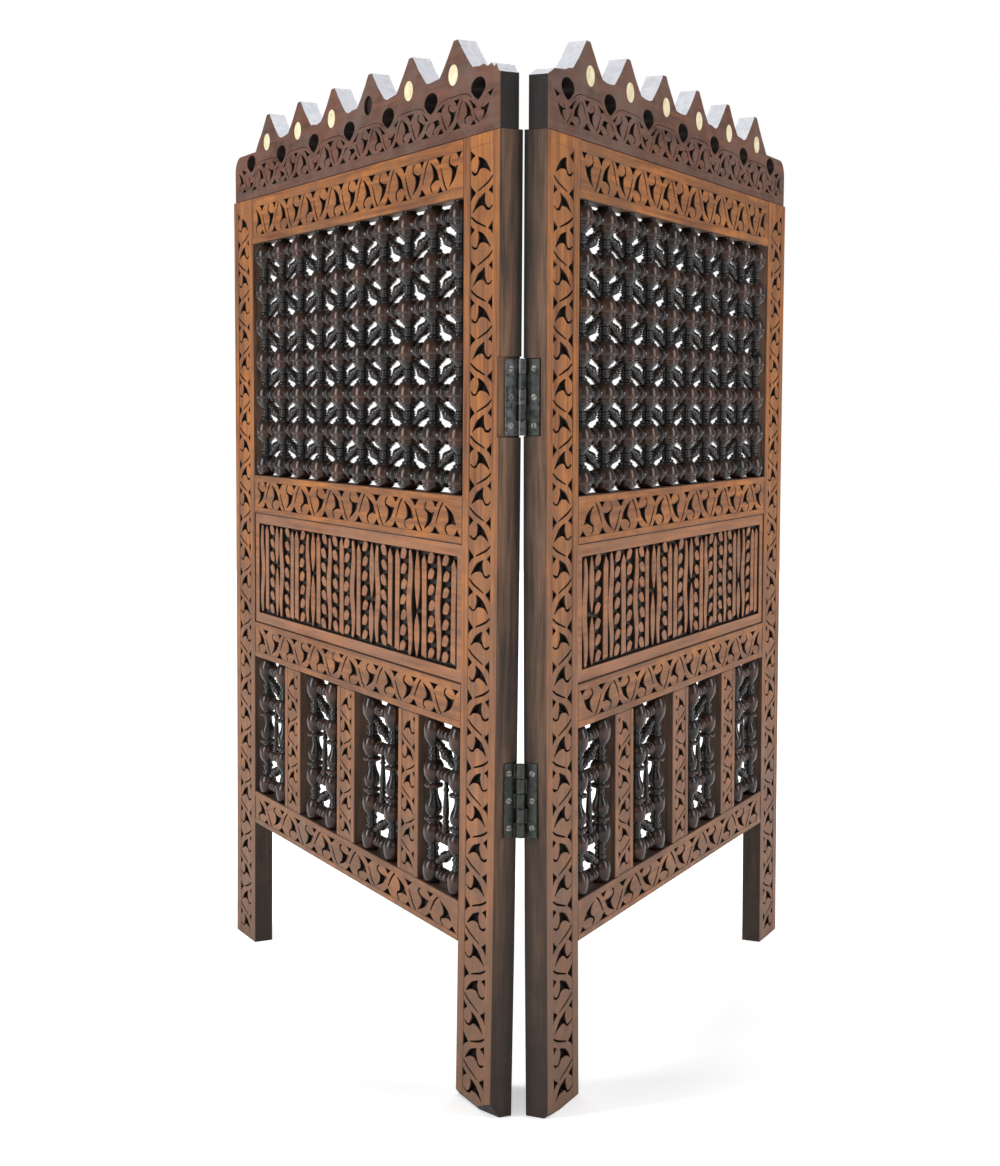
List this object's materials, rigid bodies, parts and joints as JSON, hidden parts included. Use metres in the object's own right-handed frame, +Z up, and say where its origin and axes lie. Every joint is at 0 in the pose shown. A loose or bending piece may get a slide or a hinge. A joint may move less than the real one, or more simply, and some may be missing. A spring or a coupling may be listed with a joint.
{
  "type": "folding mashrabiya screen",
  "caption": "Folding wooden room screen with carved frames, turned lattices, sunk inscription panels and a pierced pearl-inlaid cresting.",
  "frame": {"origin": "on the floor, at the middle of the screen's box", "axes": "+Z up; -Y towards the hinged edge, where the two leaves meet; the left leaf lies on the -X side and the right leaf on the +X side, both running back towards +Y with their carved faces outwards"},
  "size_m": [0.7562, 0.7231, 1.1],
  "materials": {
    "carved_wood": "oiled, worn",
    "panel_wood": "oiled, worn",
    "cresting_wood": "dry, greyed",
    "turned_wood": "ebonised, waxed",
    "pearl_inlay": "mother-of-pearl, polished",
    "hinge_iron": "dark patina",
    "screw_steel": "tarnished"
  },
  "bodies": {
    "left_leaf": {"left_near_stile": "carved_wood", "left_far_stile": "carved_wood", "left_top_rail": "carved_wood", "left_upper_rail": "carved_wood", "left_lower_rail": "carved_wood", "left_bottom_rail": "carved_wood", "left_muntin_1": "carved_wood", "left_muntin_2": "carved_wood", "left_muntin_3": "carved_wood", "left_inscription_panel": "panel_wood", "left_upper_lattice": "turned_wood", "left_bay_lattice_1": "turned_wood", "left_bay_lattice_2": "turned_wood", "left_bay_lattice_3": "turned_wood", "left_bay_lattice_4": "turned_wood", "left_cresting": "cresting_wood", "left_inlay_1": "pearl_inlay", "left_inlay_2": "pearl_inlay", "left_inlay_4": "pearl_inlay", "left_inlay_5": "pearl_inlay", "left_inlay_6": "pearl_inlay", "left_upper_hinge": "hinge_iron", "left_upper_screw_1": "screw_steel", "left_upper_screw_2": "screw_steel", "left_upper_screw_3": "screw_steel", "left_lower_hinge": "hinge_iron", "left_lower_screw_1": "screw_steel", "left_lower_screw_2": "screw_steel", "left_lower_screw_3": "screw_steel"},
    "right_leaf": {"right_near_stile": "carved_wood", "right_far_stile": "carved_wood", "right_top_rail": "carved_wood", "right_upper_rail": "carved_wood", "right_lower_rail": "carved_wood", "right_bottom_rail": "carved_wood", "right_muntin_1": "carved_wood", "right_muntin_2": "carved_wood", "right_muntin_3": "carved_wood", "right_inscription_panel": "panel_wood", "right_upper_lattice": "turned_wood", "right_bay_lattice_1": "turned_wood", "right_bay_lattice_2": "turned_wood", "right_bay_lattice_3": "turned_wood", "right_bay_lattice_4": "turned_wood", "right_cresting": "cresting_wood", "right_inlay_1": "pearl_inlay", "right_inlay_2": "pearl_inlay", "right_inlay_3": "pearl_inlay", "right_inlay_4": "pearl_inlay", "right_inlay_5": "pearl_inlay", "right_inlay_6": "pearl_inlay", "right_upper_hinge": "hinge_iron", "right_upper_screw_1": "screw_steel", "right_upper_screw_2": "screw_steel", "right_upper_screw_3": "screw_steel", "right_lower_hinge": "hinge_iron", "right_lower_screw_1": "screw_steel", "right_lower_screw_2": "screw_steel", "right_lower_screw_3": "screw_steel"}
  },
  "joints": [
    {"name": "leaf_fold", "type": "hinge", "parent": "left_leaf", "child": "right_leaf", "pos_m": [0, -0.35011, 0.5], "axis": [0, 0, 1], "range_deg": [-127, 53]}
  ]
}
